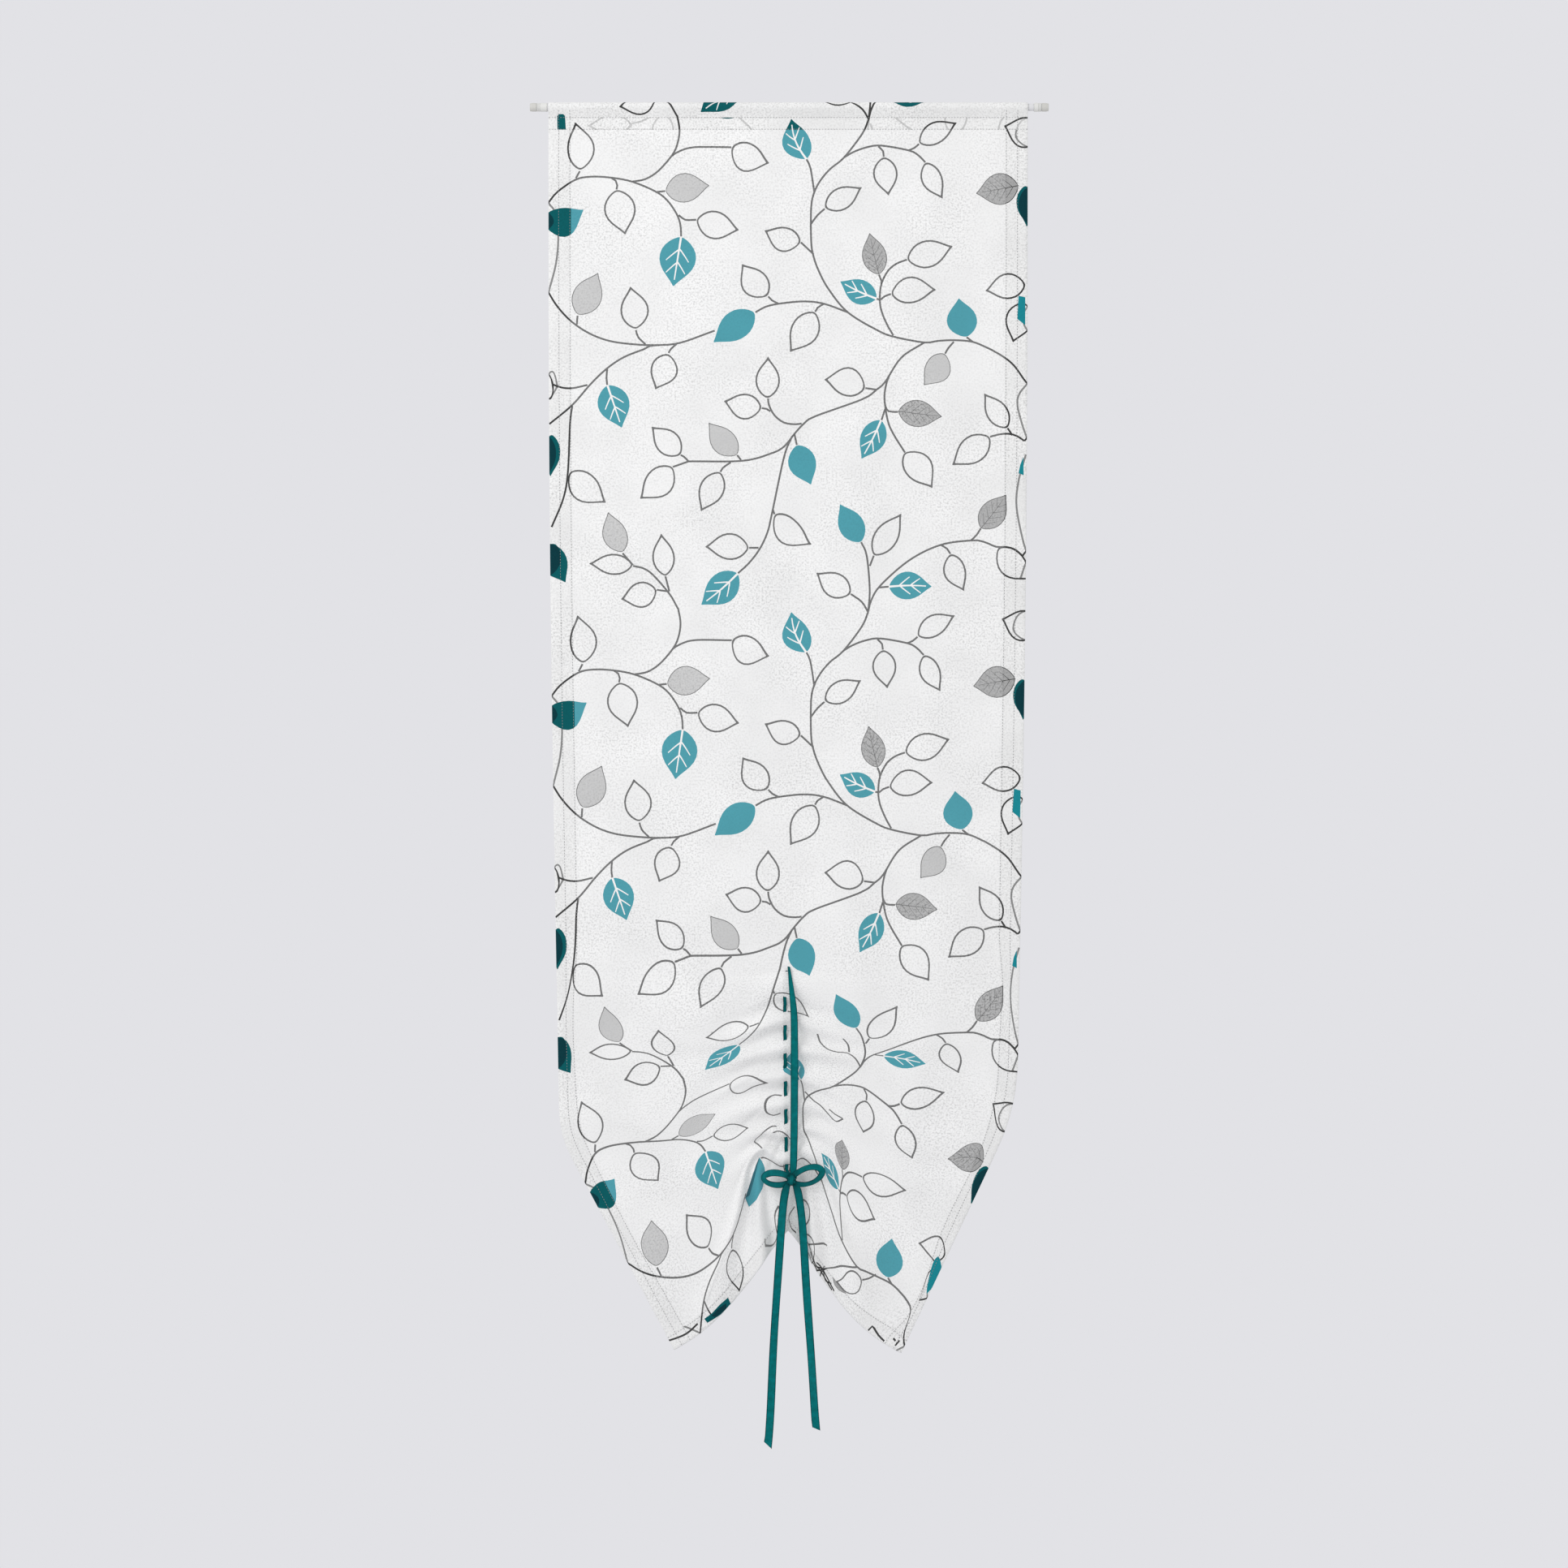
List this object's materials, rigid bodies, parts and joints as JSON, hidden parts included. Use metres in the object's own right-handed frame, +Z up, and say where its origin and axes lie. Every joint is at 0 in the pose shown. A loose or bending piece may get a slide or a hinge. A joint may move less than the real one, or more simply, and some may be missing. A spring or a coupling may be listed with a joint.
{
  "type": "sheer curtain",
  "caption": "Sheer leaf-print curtain panel hung by its rod pocket from a slim telescoping spring rod and drawn up at its centre by a threaded ribbon tied in a bow.",
  "frame": {"origin": "on the rod's axis, above the middle of the panel", "axes": "+Z up, the way the curtain hangs; -Y to the front, +X along the rod to its sliding end"},
  "size_m": [0.6497, 0.0324, 1.6843],
  "materials": {
    "sheer_cloth": "fine white sheer with a printed leaf vine",
    "ribbon": "teal satin ribbon",
    "rod_tube": "white coated steel",
    "spring_steel": "bright spring wire",
    "rod_plastic": "white moulded plastic",
    "foot_rubber": "pale grey rubber"
  },
  "bodies": {
    "root": {"curtain_panel": "sheer_cloth", "tie_ribbon": "ribbon", "rod_outer_tube": "rod_tube", "spring_seat": "rod_plastic", "rod_spring": "spring_steel", "left_end_cap": "rod_plastic", "left_foot": "foot_rubber"},
    "inner_rod": {"rod_inner_tube": "rod_tube", "inner_tube_plug": "rod_plastic", "right_end_cap": "rod_plastic", "right_foot": "foot_rubber"}
  },
  "joints": [
    {"name": "rod_slide", "type": "slide", "parent": "root", "child": "inner_rod", "axis": [1, 0, 0], "range_m": [-0.007, 0.03], "stiffness_N_per_m": 300, "deforming": ["rod_spring"]}
  ]
}
